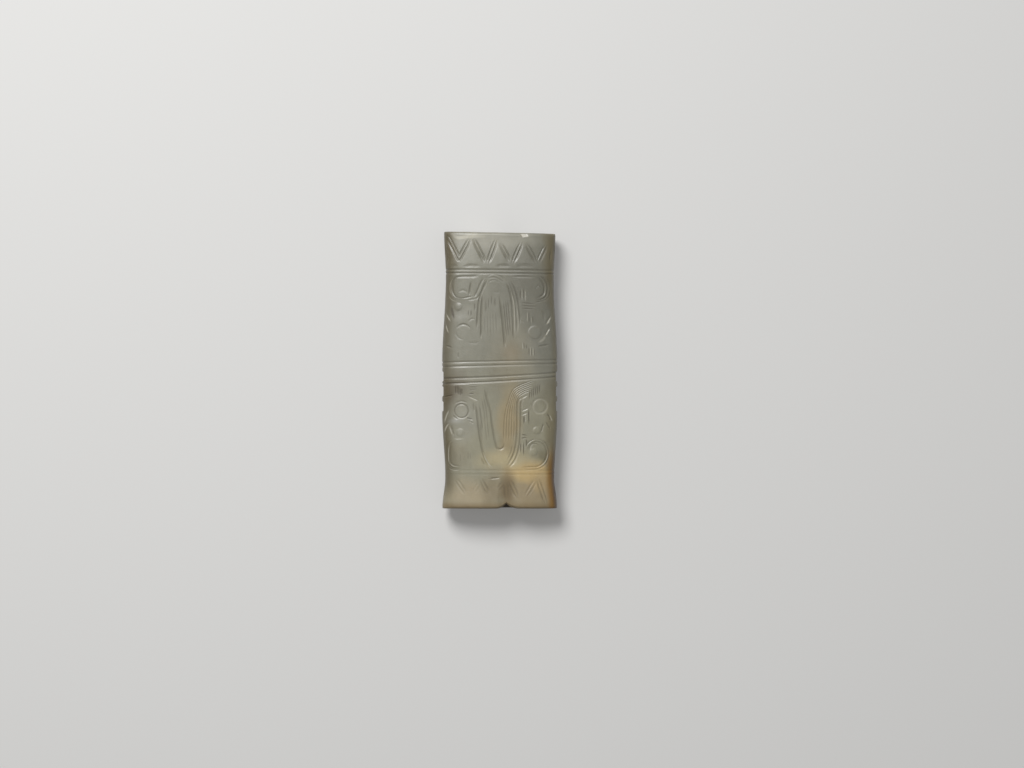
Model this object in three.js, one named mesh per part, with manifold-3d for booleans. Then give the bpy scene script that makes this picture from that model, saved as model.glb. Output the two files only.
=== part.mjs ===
// Jade pendant: a flat, waisted bar of one stone, bored from end to end for a cord and carved all round.
// Millimetres. X runs across the pendant, Y along it to its top end, and Z up out of its front face.
// It lies on its back with the origin under the middle of its box.
import * as THREE from "three";
import { LoftGeometry } from "three/addons/geometries/LoftGeometry.js";
import { mergeVertices } from "three/addons/utils/BufferGeometryUtils.js";
import Module from "manifold-3d";

const wasm = await Module();
wasm.setup();

// Outline of the bar, seen from the front
const LENGTH = 72;
const TOP_WIDTH = 29.2;
const UPPER_WAIST_WIDTH = 27.8;
const MIDDLE_WIDTH = 30.2;
const LOWER_WAIST_WIDTH = 28.2;
const BOTTOM_WIDTH = 30.1;
const UPPER_WAIST_FROM_TOP = 12.2;
const LOWER_WAIST_FROM_BOTTOM = 9.2;
// How far below the middle of its length the bar is widest
const WIDEST_BELOW_MIDDLE = 5;
// How much lower the top end is cut at its right corner than at its left
const TOP_FALL = 0.6;

// Thickness of the bar, seen from the side
const TOP_THICKNESS = 9;
const MIDDLE_THICKNESS = 10.6;
const BOTTOM_THICKNESS = 10.2;
const BAND_THICKNESS = 10.2;
// Power of the oval section: 2 is an ellipse, and more is squarer
const SECTION_POWER = 3.6;
// Rounding of the rims of the two ends: how far it reaches down the bar, in over the faces and in at the corners
const RIM_LENGTH = 0.8;
const RIM_ROUND = 0.8;
const CORNER_ROUND = 0.3;

// Bore for the cord, drilled from both ends
const BORE_FROM_AXIS = 2;
const BORE_THROAT_RADIUS = 2.95;
const BORE_MOUTH_RADIUS = 3.15;
// Wear that widens the mouths
const MOUTH_WEAR = 0.35;
const MOUTH_WEAR_LENGTH = 1.4;

// Broken lip of the bore at the bottom end, and the worn trough above it
const LIP_WIDTH = 5.8;
const LIP_DEPTH = 1.15;
const LIP_SHARP_WIDTH = 2.1;
const LIP_SHOULDER_DEPTH = 0.45;
const TROUGH_WIDTH = 5.6;
const TROUGH_LENGTH = 9.2;
const TROUGH_DEPTH = 0.55;

// Notches in both long edges, below the middle
const NOTCH_COUNT = 3;
const NOTCH_LENGTH = 2.85;
const NOTCH_PITCH = 3.9;
const NOTCH_DEPTH = 0.38;
const NOTCH_SLOPE = 0.3;
const NOTCHES_FROM_MIDDLE = 0.1;

// Carved lines: how wide and deep a groove is, and how far apart the two of a double line are
const LINE_WIDTH = 0.55;
const LINE_DEPTH = 0.28;
const LINE_SPACING = 0.9;
// Girdles, which run right round: the middle of each, one under each end band and two about the middle
const TOP_GIRDLE_FROM_TOP = 10.3;
const UPPER_GIRDLE_FROM_MIDDLE = 1.9;
const LOWER_GIRDLE_FROM_MIDDLE = 2.2;
const BOTTOM_GIRDLE_FROM_BOTTOM = 9.5;
// How much higher the two middle girdles stand at the right edge than at the left
const UPPER_GIRDLE_SLANT = 0.7;
const LOWER_GIRDLE_SLANT = 1.6;

// End bands: double Vs right round, with their points to the middle
const V_COUNT = 10;
const V_TOP_FROM_END = 2.1;
const V_POINT_FROM_END = 6.1;
const V_SPREAD = 2.4;
// How far round to the front the first V stands from the right edge
const V_SHIFT = 0.22;
// How far the outer V of each pair stands below the inner one
const V_PAIR_DROP = 1.8;
// How much of its length each leg's cut runs on past the point of its V
const V_OVERRUN_SHARE = 0.07;

// Faces of the model, and how far a cutter runs past what it cuts
const COLUMNS = 40;
const LONGEST_FACE = 3;
const ROUND_STEPS = 3;
const BORE_SIDES = 32;
const CUT_PAST = 1;

const TOP = LENGTH / 2;
const BOTTOM = -LENGTH / 2;

// Value at y on an easy curve through [place, value] pairs that rise in place
function easedAt(stations, y) {
  const last = stations.length - 1;
  if (y <= stations[0][0]) return stations[0][1];
  if (y >= stations[last][0]) return stations[last][1];
  const next = stations.findIndex(([place]) => place > y);
  const [from, low] = stations[next - 1];
  const [to, high] = stations[next];
  const share = THREE.MathUtils.smoothstep(y, from, to);
  return low + (high - low) * share;
}

const WIDTHS = [
  [BOTTOM, BOTTOM_WIDTH],
  [BOTTOM + LOWER_WAIST_FROM_BOTTOM, LOWER_WAIST_WIDTH],
  [-WIDEST_BELOW_MIDDLE, MIDDLE_WIDTH],
  [TOP - UPPER_WAIST_FROM_TOP, UPPER_WAIST_WIDTH],
  [TOP, TOP_WIDTH],
];
const THICKNESSES = [
  [BOTTOM, BOTTOM_THICKNESS],
  [BOTTOM + BOTTOM_GIRDLE_FROM_BOTTOM, BAND_THICKNESS],
  [0, MIDDLE_THICKNESS],
  [TOP - TOP_GIRDLE_FROM_TOP, BAND_THICKNESS],
  [TOP, TOP_THICKNESS],
];

// Double girdle lines, each with how much higher it stands at the right edge than at the left
const GIRDLE_LINES = [-LINE_SPACING / 2, LINE_SPACING / 2].flatMap((step) => [
  { y: TOP - TOP_GIRDLE_FROM_TOP + step, slant: 0 },
  { y: UPPER_GIRDLE_FROM_MIDDLE + step, slant: UPPER_GIRDLE_SLANT },
  { y: -LOWER_GIRDLE_FROM_MIDDLE + step, slant: LOWER_GIRDLE_SLANT },
  { y: BOTTOM + BOTTOM_GIRDLE_FROM_BOTTOM + step, slant: 0 },
]);

// One coordinate of the oval section, from its cosine or sine
function ovalShare(wave) {
  return Math.sign(wave) * Math.pow(Math.abs(wave), 2 / SECTION_POWER);
}

// Point of the outer surface at an angle round the section and a height, drawn in at the faces and the edges
function surfacePoint(angle, y, inset = 0, edgeInset = inset) {
  const halfWidth = easedAt(WIDTHS, y) / 2 - edgeInset;
  const halfThickness = easedAt(THICKNESSES, y) / 2 - inset;
  const x = halfWidth * ovalShare(Math.cos(angle));
  const z = halfThickness * ovalShare(Math.sin(angle));
  // The whole bar leans a little to the slant of its top end
  const fall = ((TOP_FALL * x) / TOP_WIDTH) * ((y - BOTTOM) / LENGTH);
  return new THREE.Vector3(x, y - fall, z);
}

// Outward direction of the section at an angle, in the plane of the section
function surfaceNormal(angle, y) {
  const step = 0.01;
  const before = surfacePoint(angle - step, y);
  const after = surfacePoint(angle + step, y);
  return new THREE.Vector3(after.z - before.z, 0, before.x - after.x).normalize();
}

// Closed solid of a geometry, with its seams joined and no faces without area
function solidOf(geometry) {
  const bare = new THREE.BufferGeometry();
  bare.setAttribute("position", geometry.attributes.position);
  bare.setIndex(geometry.index);
  const joined = mergeVertices(bare, 1e-4);
  const corners = joined.index.array;
  const kept = [];
  for (let i = 0; i < corners.length; i += 3) {
    const [a, b, c] = [corners[i], corners[i + 1], corners[i + 2]];
    if (a !== b && b !== c && c !== a) kept.push(a, b, c);
  }
  const mesh = new wasm.Mesh({
    numProp: 3,
    vertProperties: new Float32Array(joined.attributes.position.array),
    triVerts: new Uint32Array(kept),
  });
  return new wasm.Manifold(mesh);
}

// Rows of the loft from the bottom up: the rounded ends, the girdle lines and plain rows between them
function loftRows() {
  const rows = [];
  for (let i = 0; i <= ROUND_STEPS; i += 1) {
    const turn = (Math.PI / 2) * (i / ROUND_STEPS);
    const rise = RIM_LENGTH * (1 - Math.cos(turn));
    const inset = RIM_ROUND * (1 - Math.sin(turn));
    const edgeInset = CORNER_ROUND * (1 - Math.sin(turn));
    const rim = { inset, edgeInset, slant: 0 };
    rows.push({ y: BOTTOM + rise, ...rim }, { y: TOP - rise, ...rim });
  }
  for (const { y, slant } of GIRDLE_LINES) {
    rows.push({ y: y - LINE_WIDTH / 2, inset: 0, slant });
    rows.push({ y, inset: LINE_DEPTH, slant });
    rows.push({ y: y + LINE_WIDTH / 2, inset: 0, slant });
  }
  rows.sort((one, other) => one.y - other.y);
  const filled = [rows[0]];
  for (const row of rows.slice(1)) {
    const from = filled.at(-1);
    const gaps = Math.ceil((row.y - from.y) / LONGEST_FACE);
    for (let i = 1; i < gaps; i += 1) {
      const share = i / gaps;
      const y = THREE.MathUtils.lerp(from.y, row.y, share);
      filled.push({ y, inset: 0, slant: THREE.MathUtils.lerp(from.slant, row.slant, share) });
    }
    filled.push(row);
  }
  return filled;
}

// Bar: oval sections lofted along it, drawn in at each girdle line
function bar() {
  const sections = loftRows().map(({ y, inset, edgeInset, slant }) => {
    const ring = [];
    for (let j = 0; j < COLUMNS; j += 1) {
      const point = surfacePoint((-2 * Math.PI * j) / COLUMNS, y, inset, edgeInset);
      point.y += (slant * point.x) / MIDDLE_WIDTH;
      ring.push(point);
    }
    return ring;
  });
  return new LoftGeometry(sections, { capStart: true, capEnd: true });
}

// Bore: an hourglass turned about its axis, worn wider at both mouths
function bore() {
  const throat = new THREE.Vector2(BORE_THROAT_RADIUS, 0);
  const worn = BORE_MOUTH_RADIUS + MOUTH_WEAR;
  const half = [
    new THREE.Vector2(BORE_MOUTH_RADIUS, TOP - MOUTH_WEAR_LENGTH),
    new THREE.Vector2(worn, TOP),
    new THREE.Vector2(worn, TOP + CUT_PAST),
    new THREE.Vector2(0, TOP + CUT_PAST),
  ];
  const other = half.map((point) => new THREE.Vector2(point.x, -point.y)).reverse();
  const profile = [...other, throat, ...half];
  return new THREE.LatheGeometry(profile, BORE_SIDES).translate(BORE_FROM_AXIS, 0, 0);
}

// Broken lip: a shallow dip with a sharp bite in it, from the bore out through the front
function brokenLip() {
  const shape = new THREE.Shape();
  shape.moveTo(-LIP_WIDTH / 2, -CUT_PAST);
  shape.lineTo(LIP_WIDTH / 2, -CUT_PAST);
  shape.lineTo(LIP_WIDTH / 2, 0);
  shape.quadraticCurveTo(LIP_SHARP_WIDTH, LIP_SHOULDER_DEPTH, LIP_SHARP_WIDTH / 2, LIP_SHOULDER_DEPTH);
  shape.quadraticCurveTo(0, LIP_SHOULDER_DEPTH, 0, LIP_DEPTH);
  shape.quadraticCurveTo(0, LIP_SHOULDER_DEPTH, -LIP_SHARP_WIDTH / 2, LIP_SHOULDER_DEPTH);
  shape.quadraticCurveTo(-LIP_SHARP_WIDTH, LIP_SHOULDER_DEPTH, -LIP_WIDTH / 2, 0);
  const depth = BOTTOM_THICKNESS / 2 + CUT_PAST;
  const cut = new THREE.ExtrudeGeometry(shape, { depth, bevelEnabled: false, curveSegments: 4 });
  return cut.translate(BORE_FROM_AXIS, BOTTOM, 0);
}

// Worn trough: half of a long dish, sunk in the front above the broken lip
function trough() {
  const dish = new THREE.SphereGeometry(1, 24, 16).rotateX(Math.PI / 2);
  dish.scale(TROUGH_WIDTH / 2, TROUGH_LENGTH, TROUGH_DEPTH);
  return dish.translate(BORE_FROM_AXIS, BOTTOM, BOTTOM_THICKNESS / 2);
}

// One notch of the right edge, numbered from the middle down
function edgeNotch(number) {
  const high = -NOTCHES_FROM_MIDDLE - number * NOTCH_PITCH;
  const low = high - NOTCH_LENGTH;
  const edge = surfacePoint(0, (high + low) / 2).x;
  const outside = edge + CUT_PAST;
  const floor = edge - NOTCH_DEPTH;
  const shape = new THREE.Shape();
  shape.moveTo(outside, low);
  shape.lineTo(outside, high);
  shape.lineTo(edge, high);
  shape.lineTo(floor, high - NOTCH_SLOPE);
  shape.lineTo(floor, low + NOTCH_SLOPE);
  shape.lineTo(edge, low);
  const depth = MIDDLE_THICKNESS;
  const cut = new THREE.ExtrudeGeometry(shape, { depth, bevelEnabled: false });
  return cut.translate(0, 0, -depth / 2);
}

// Cutter for a carved line: a small kite carried along places on the surface, with its long corner outside
function grooveAlong(places) {
  const points = places.map(([angle, y]) => surfacePoint(angle, y));
  const sections = points.map((point, i) => {
    const next = points[Math.min(i + 1, points.length - 1)];
    const last = points[Math.max(i - 1, 0)];
    const along = new THREE.Vector3().subVectors(next, last).normalize();
    const side = new THREE.Vector3().crossVectors(surfaceNormal(...places[i]), along).normalize();
    const out = new THREE.Vector3().crossVectors(along, side).normalize();
    return [
      point.clone().addScaledVector(out, CUT_PAST),
      point.clone().addScaledVector(side, -LINE_WIDTH / 2),
      point.clone().addScaledVector(out, -LINE_DEPTH),
      point.clone().addScaledVector(side, LINE_WIDTH / 2),
    ];
  });
  return new LoftGeometry(sections, { capStart: true, capEnd: true });
}

// Angles that part the section at a height into equal lengths of its outline, from the right edge round
function evenAngles(y, count) {
  const fine = 720;
  const lengths = [0];
  for (let i = 1; i <= fine; i += 1) {
    const before = surfacePoint((2 * Math.PI * (i - 1)) / fine, y);
    const after = surfacePoint((2 * Math.PI * i) / fine, y);
    lengths.push(lengths[i - 1] + before.distanceTo(after));
  }
  const whole = lengths[fine];
  return (share) => {
    const wanted = whole * THREE.MathUtils.euclideanModulo(share / count, 1);
    const after = Math.max(1, lengths.findIndex((length) => length >= wanted));
    const part = (wanted - lengths[after - 1]) / (lengths[after] - lengths[after - 1]);
    return [(2 * Math.PI * (after - 1 + part)) / fine, whole / count];
  };
}

// Cutters for one end band: toward is 1 for the top end and -1 for the bottom end
function endBand(toward) {
  const end = toward * TOP;
  const angleAt = evenAngles(end - toward * V_POINT_FROM_END, V_COUNT);
  const pitch = angleAt(0)[1];
  const cutters = [];
  for (let i = 0; i < V_COUNT; i += 1) {
    for (const drop of [0, V_PAIR_DROP]) {
      const high = end - toward * (V_TOP_FROM_END + drop);
      const low = end - toward * (V_POINT_FROM_END + drop);
      for (const side of [-1, 1]) {
        const leg = [-V_OVERRUN_SHARE, 0.5, 1].map((share) => {
          const across = (V_SHIFT + side * V_SPREAD * share) / pitch;
          return [angleAt(i + across)[0], low + (high - low) * share];
        });
        cutters.push(grooveAlong(leg));
      }
    }
  }
  return cutters;
}

// All the cuts, made one after another
function carved() {
  let stone = solidOf(bar());
  const cut = (geometry) => {
    stone = stone.subtract(solidOf(geometry));
  };
  cut(bore());
  cut(brokenLip());
  cut(trough());
  for (let i = 0; i < NOTCH_COUNT; i += 1) {
    const notch = edgeNotch(i);
    cut(notch);
    cut(notch.clone().rotateY(Math.PI));
  }
  for (const toward of [1, -1]) endBand(toward).forEach(cut);
  return stone;
}

// Geometry of a finished solid, set down so that its box stands on the origin
function setDown(solid) {
  const mesh = solid.getMesh();
  const geometry = new THREE.BufferGeometry();
  geometry.setAttribute("position", new THREE.BufferAttribute(new Float32Array(mesh.vertProperties), 3));
  geometry.setIndex(new THREE.BufferAttribute(new Uint32Array(mesh.triVerts), 1));
  geometry.computeBoundingBox();
  const { min, max } = geometry.boundingBox;
  geometry.translate(-(min.x + max.x) / 2, -(min.y + max.y) / 2, -min.z);
  geometry.computeVertexNormals();
  return geometry;
}

const pendant = new THREE.Group();
pendant.name = "jade_pendant";
const jade = new THREE.MeshStandardMaterial({ color: 0x8c8a7a, roughness: 0.4 });
const jadeBody = new THREE.Mesh(setDown(carved()), jade);
jadeBody.name = "jade_body";
pendant.add(jadeBody);

export default pendant;
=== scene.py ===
"""Jade pendant: its carved surface, the look of its stone, the floor, the light and the camera."""
import math
from collections import namedtuple

import bpy
import numpy as np
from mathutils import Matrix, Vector


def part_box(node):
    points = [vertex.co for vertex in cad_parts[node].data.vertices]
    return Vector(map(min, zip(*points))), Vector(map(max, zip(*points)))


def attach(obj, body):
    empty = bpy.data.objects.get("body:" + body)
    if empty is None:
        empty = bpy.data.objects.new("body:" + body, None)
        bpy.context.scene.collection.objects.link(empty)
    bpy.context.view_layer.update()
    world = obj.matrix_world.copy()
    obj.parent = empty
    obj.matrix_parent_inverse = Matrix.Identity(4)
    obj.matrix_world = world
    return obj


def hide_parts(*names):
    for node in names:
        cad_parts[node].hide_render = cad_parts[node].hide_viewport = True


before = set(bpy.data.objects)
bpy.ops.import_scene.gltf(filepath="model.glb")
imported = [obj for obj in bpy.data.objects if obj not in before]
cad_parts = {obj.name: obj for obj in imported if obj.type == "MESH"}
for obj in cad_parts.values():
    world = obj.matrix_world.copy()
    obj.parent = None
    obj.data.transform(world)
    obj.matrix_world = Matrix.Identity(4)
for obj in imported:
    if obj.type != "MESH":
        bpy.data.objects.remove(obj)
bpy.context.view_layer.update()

# Lengths are millimetres until they go into Blender, which works in metres
MM = 0.001

# Form of the bar, as in the part's source, but for its widths, its corners and the depth of its broken lip,
# which are a little nearer the photograph. Its ends are rounded across the thickness, and by a share of that
# across the width. Each station is a height, from the middle of the bar, and the width or thickness there
LENGTH = 72.0
TOP = LENGTH / 2
BOTTOM = -LENGTH / 2
TOP_WIDTH = 29.2
TOP_FALL = 0.6
SECTION_POWER = 3.6
EDGE_ROUND = 0.8
CORNER_SHARE = 0.15
WIDEST = 30.16
WIDTHS = (
    (BOTTOM, 30.1),
    (BOTTOM + 8.0, 28.6),
    (-11.0, WIDEST),
    (2.0, WIDEST),
    (TOP - 12.2, 28.3),
    (TOP, TOP_WIDTH),
)
THICKNESSES = (
    (BOTTOM, 10.2),
    (BOTTOM + 9.5, 10.2),
    (0, 10.6),
    (TOP - 10.3, 10.2),
    (TOP, 9.0),
)

# Bore along the bar. A point nearer its wall than the margin is taken to be on the wall
BORE_X = 2.0
BORE_THROAT_RADIUS = 2.95
BORE_MOUTH_RADIUS = 3.15
MOUTH_WEAR = 0.35
MOUTH_WEAR_LENGTH = 1.4
BORE_MARGIN = 0.05

# Broken lip at the bottom end, in the front wall alone, and the worn trough above it, which leans to the left
LIP_WIDTH = 5.8
LIP_FLAT = 0.3
LIP_SHOULDER_DEPTH = 0.5
LIP_SHARP_WIDTH = 2.4
LIP_DEPTH = 1.35
LIP_POWER = 1.3
LIP_PEAK_X = 1.75
LIP_REACH = 5.0
LIP_WALL_START, LIP_WALL_FULL = 0.4, 1.6
TROUGH_WIDTH = 5.6
TROUGH_LENGTH = 9.2
TROUGH_DEPTH = 0.55
TROUGH_RIGHT_OF_BORE = 0.25
TROUGH_LEAN = 0.09
TROUGH_POWER = 1.5

# Notches in both long edges
NOTCH_STARTS = (-0.1, -4.0, -7.9)
NOTCH_LENGTH = 2.85
NOTCH_SLOPE = 0.3
NOTCH_DEPTH = 0.38

# Chip in the front edge of the top end
CHIP_LEFT, CHIP_RIGHT = 6.05, 7.75
CHIP_FROM_TOP = 1.4
CHIP_LEAN = 0.75
CHIP_TILT = 0.36
CHIP_SUNK = 0.04
CHIP_RIM = 0.35

# Wear of the whole surface: its depth, and a broad and a fine unevenness of it, from noise on a lattice. The
# shift keeps every place on the lattice above 0
WEAR_DEPTH = 0.03
BROAD_WEAR, BROAD_CELL, BROAD_SEED = 0.022, 4.0, 3
FINE_WEAR, FINE_CELL, FINE_SEED = 0.008, 1.3, 5
LATTICE_SIZE = 32
LATTICE_SHIFT = 1000.0


def srgb(red, green, blue):
    """Linear colour of an sRGB one given from 0 to 255."""
    shares = np.array((red, green, blue)) / 255
    return np.where(shares < 0.04045, shares / 12.92, ((shares + 0.055) / 1.055) ** 2.4)


# Colours of the stone: its ground above and below, its brown specks, its lower rim, the dirt and painted
# shade of its cuts, the pale wear and painted highlight of its scratches, the fresh break of the chip with a
# painted glint, and painted shade on the wall of the bore
UPPER_JADE = srgb(140, 138, 124)
LOWER_JADE = srgb(153, 149, 128)
DARK_BROWN = srgb(86, 64, 40)
RIM_BROWN = srgb(140, 122, 90)
CUT_DIRT_AND_SHADE = srgb(84, 77, 63)
SCRATCH_PALE_AND_HIGHLIGHT = srgb(186, 182, 166)
CHIP_BREAK_AND_GLINT = srgb(192, 188, 175)
BORE_PAINTED_SHADE = srgb(58, 50, 40)
BORE_SHADE_SHARE = 0.8

# Heights between which the upper ground turns into the lower one, and the lower rim's share and its heights
# above the bottom end
UPPER_ENDS, LOWER_STARTS = 8.0, -20.0
RIM_SHARE = 0.8
RIM_START, RIM_FULL = 2.2, 0.6

# Colours of the long edges, which start and are full at a share of the half width: painted shade on the
# left, a painted rim light on the right, and amber and brown stains on the right towards the bottom end. The
# left one is weak at the bottom corner, up to these heights above the bottom end
Edge = namedtuple("Edge", "colour share start full")
LEFT_EDGE_SHADE = Edge(srgb(94, 86, 65), 0.72, 0.7, 0.98)
RIGHT_EDGE_LIGHT = Edge(srgb(138, 129, 100), 0.7, 0.88, 1.0)
AMBER_EDGE = Edge(srgb(147, 108, 46), 0.85, 0.8, 0.92)
BROWN_EDGE = Edge(DARK_BROWN, 0.9, 0.9, 1.0)
LEFT_AT_CORNER = 0.25
CORNER_START, CORNER_END = 1, 7
AMBER_START, AMBER_FULL = -18.0, -26.0

# Stains and clouds of the front and back, and painted shade and highlights on them, each an oval patch of
# the plan whose outline wanders
ColourPatch = namedtuple("ColourPatch", "colour centre radii softness share")
PATCH_WANDER = 1.2
WANDER_CELL, WANDER_SEED = 3.5, 11
STAINS_AND_PAINTED_LIGHT = (
    # Painted shade down the upper right and, weaker, lower down the right, and a warmer cast across the
    # middle
    ColourPatch(srgb(114, 112, 100), (9.5, 24.0), (10.5, 12.0), 0.7, 0.75),
    ColourPatch(srgb(123, 122, 111), (12.5, 7.0), (5.0, 9.0), 0.7, 0.6),
    ColourPatch(srgb(142, 134, 112), (3.0, 1.0), (4.5, 9.0), 0.8, 0.6),
    ColourPatch(srgb(146, 132, 107), (3.0, 4.8), (2.0, 2.4), 0.7, 0.45),
    # Painted sheen on the top end and a painted highlight along its top rim, and the top end yellowed at its
    # corners
    ColourPatch(srgb(160, 157, 143), (-3.5, 34.2), (11.0, 2.6), 0.7, 0.85),
    ColourPatch(srgb(190, 186, 170), (-8.4, 35.55), (4.4, 0.55), 0.6, 0.9),
    ColourPatch(srgb(112, 102, 76), (-14.8, 28.5), (2.6, 10.5), 0.6, 0.75),
    ColourPatch(srgb(112, 102, 74), (14.6, 29.0), (2.6, 10.0), 0.6, 0.75),
    # Brown stain at the left edge, spreading into the hatched corner
    ColourPatch(srgb(117, 109, 93), (-12.8, -4.8), (4.0, 4.2), 0.8, 0.75),
    ColourPatch(srgb(90, 77, 59), (-14.8, -6.6), (2.0, 3.4), 0.7, 0.85),
    ColourPatch(srgb(110, 104, 82), (13.6, -5.8), (2.4, 3.2), 0.8, 0.5),
    # Yellowed lower edges, and a pale cloud about the left eye
    ColourPatch(srgb(120, 109, 82), (-15.0, -17.0), (1.8, 11.0), 0.6, 0.7),
    ColourPatch(srgb(128, 119, 92), (14.6, -17.0), (2.6, 8.5), 0.6, 0.7),
    ColourPatch(srgb(156, 154, 141), (-9.5, -12.9), (4.5, 4.6), 0.7, 0.7),
    ColourPatch(srgb(141, 134, 114), (-11.1, -21.6), (3.0, 3.2), 0.7, 0.6),
    ColourPatch(srgb(176, 175, 168), (-11.9, -13.2), (1.8, 0.8), 0.8, 0.6),
    # Amber along the right leg of the tongue, honey at its foot
    ColourPatch(srgb(158, 143, 111), (2.4, -14.5), (2.6, 9.5), 0.6, 0.9),
    ColourPatch(srgb(186, 173, 137), (0.9, -23.2), (5.2, 2.6), 0.7, 0.85),
    ColourPatch(srgb(182, 170, 136), (5.4, -24.3), (4.0, 1.5), 0.7, 0.7),
    ColourPatch(srgb(122, 114, 88), (11.0, -22.9), (1.9, 1.5), 0.7, 0.6),
    # Bottom end: an amber bar, beige to its right, cream to its left and brown in the trough
    ColourPatch(srgb(162, 145, 114), (8.8, -31.6), (7.0, 5.2), 0.6, 0.85),
    ColourPatch(srgb(194, 170, 121), (7.9, -26.7), (6.2, 2.3), 0.6, 0.95),
    ColourPatch(srgb(182, 161, 121), (10.2, -29.4), (2.6, 2.0), 0.7, 0.75),
    ColourPatch(srgb(173, 159, 131), (-7.8, -32.4), (7.0, 3.6), 0.8, 0.85),
    ColourPatch(srgb(141, 127, 100), (-1.4, -31.0), (2.6, 4.2), 0.7, 0.6),
    ColourPatch(srgb(122, 103, 72), (2.1, -31.2), (1.7, 5.2), 0.7, 0.7),
)

# Grain of the stone: clouds, fibres drawn out along the bar, and specks. A tint is the least and the most
# that the colour is multiplied by. A shade of the darkest cut takes the darkest share of the cuts' dirt and
# painted shade, and one of the palest cut is all the pale colour and painted highlight of a scratch
GRAIN_LOW, GRAIN_HIGH = 0.3, 0.7
CLOUD_TINT = (0.95, 1.05)
FIBRE_TINT = (0.96, 1.04)
FIBRE_STRETCH = (1.0, 0.4, 1.0)
FIBRE_ROUGHNESS = (0.34, 0.46)
SPECK_LOW, SPECK_HIGH, SPECK_SHARE = 0.64, 0.76, 0.16
DARKEST_CUT, DARKEST_SHARE = 2.6, 0.78
PALEST_CUT = -1.0

# Floor: its colour and glow to the eye, and the darker colour with which it lights the stone
FLOOR_PALE = (0.6, 0.596, 0.584, 1.0)
FLOOR_GLOW = 0.22
FLOOR_BOUNCE = (0.1, 0.1, 0.1, 1.0)

# Spacing of the carved mesh, finer on the front than on the back, and its rows over each rounded end, over
# each end's face, in each mouth of the bore and along the bore from below the mouths. The outline points
# measure the section, so that the columns are evenly spaced
FRONT_STEP = 0.11
BACK_STEP = 0.18
ROW_STEP = 0.12
ROUND_ROWS = 6
FACE_ROWS = 16
MOUTH_ROWS = 8
BORE_ROWS = 36
BORE_ROWS_START = 2.4
OUTLINE_POINTS = 4001
TINY = 1e-9

# Carved lines, which narrow to points at their ends. A groove is one cut, a strip is a raised line left
# between two cuts, a leg is a strip whose left side, looking along it, is cut steeply and whose right side
# runs out gently, and a boss is a raised round. Shade is how dark dirt and painted shade make the stone where
# the stroke is cut deepest, or, where it is less than 0, how pale it is, as in a scratch that has lost its
# polish, with a painted highlight. A groove or strip as deep as a full cut has a shade of 1
Stroke = namedtuple("Stroke", "kind width depth points taper shade")
FULL_CUT = 0.17
STRIP_WALL = 0.3
STRIP_SLOPE = 0.55
STEEP_SLOPE = 0.32
GENTLE_SLOPE = 0.6
EYE_EDGE = 0.45
BIGGEST_BALL = 1.3
BOSS_SLOPE = 3.0
REACHES = {"groove": 0.0, "strip": STRIP_SLOPE, "leg": GENTLE_SLOPE, "boss": BOSS_SLOPE}
TAPER = 2.4
TAPER_SHARE = 0.36
POINT_WIDTH = 0.5
# Hatches are shallow and get more dirt and painted shade; scratches are pale with a painted highlight
HATCH_DEPTH = 0.45
HATCH_SHADE = 3.0
BOSS_SHADE = 0.2
SCRATCH_AND_HIGHLIGHT_SHADE = -0.8
FAINT_SCRATCH_HIGHLIGHT = -0.45
PALE_RING = -0.25
BACK_DEPTH = 0.85
CURVE_STEPS = 8
RING_POINTS = 49
FULL_TURN = 360


def stroke(kind, width, depth, points):
    """A stroke along a smooth curve through the points, shaded by its depth."""
    return Stroke(kind, width, depth, smooth_curve(points), TAPER, min(depth / FULL_CUT, 1))


def groove(width, depth, *points):
    """One cut."""
    return stroke("groove", width, depth, points)


def strip(gap, depth, *points):
    """A raised line between two cuts whose middles are gap apart."""
    return stroke("strip", gap, depth, points)


def leg(gap, depth, *points):
    """A strip that is steep on its left side, looking along it, and gentle on its right."""
    return stroke("leg", gap, depth, points)


def vee(gap, depth, *points):
    """A leg that turns sharply at each of its points."""
    return leg(gap, depth, *points)._replace(points=np.array(points))


def scratch_with_highlight(width, depth, *points, shade=SCRATCH_AND_HIGHLIGHT_SHADE):
    """A cut with a pale, worn floor and a painted highlight."""
    return stroke("groove", width, depth, points)._replace(shade=shade)


def boss(depth, centre, radius):
    """A raised round whose surroundings are cut down."""
    return Stroke("boss", 2 * radius, depth, np.array([centre, centre], float), 0, BOSS_SHADE)


def ring(width, depth, centre, radius, start=0, stop=FULL_TURN):
    """A cut along an arc, in degrees from the right."""
    turns = np.radians(np.linspace(start, stop, RING_POINTS))
    points = np.stack((centre[0] + radius * np.cos(turns), centre[1] + radius * np.sin(turns)), 1)
    taper = 0 if stop - start == FULL_TURN else TAPER
    return Stroke("groove", width, depth, points, taper, min(depth / FULL_CUT, 1))


def hatch(width, depth, *lines):
    """Shallow cuts side by side, dark with dirt and painted shade."""
    shade = HATCH_SHADE * depth / FULL_CUT
    return [groove(width, HATCH_DEPTH * depth, *line)._replace(shade=shade) for line in lines]


def bundle(count, width, depth, first, last):
    """Cuts side by side that change evenly from the first curve to the last, which have as many points."""
    first, last = np.array(first), np.array(last)
    return [groove(width, depth, *(first + (last - first) * share)) for share in np.linspace(0, 1, count)]


def smooth_curve(points):
    """A Catmull-Rom curve through the points, as an array of places along it."""
    points = np.array(points, float)
    if len(points) == 2:
        return points
    padded = np.concatenate((2 * points[:1] - points[1:2], points, 2 * points[-1:] - points[-2:-1]))
    share = np.linspace(0, 1, CURVE_STEPS, endpoint=False)[:, None]
    places = []
    for before, start, stop, after in zip(padded, padded[1:], padded[2:], padded[3:]):
        bend = 2 * before - 5 * start + 4 * stop - after
        twist = 3 * (start - stop) + after - before
        places.append(start + 0.5 * share * (stop - before + share * (bend + share * twist)))
    return np.concatenate(places + [points[-1:]])


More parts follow.
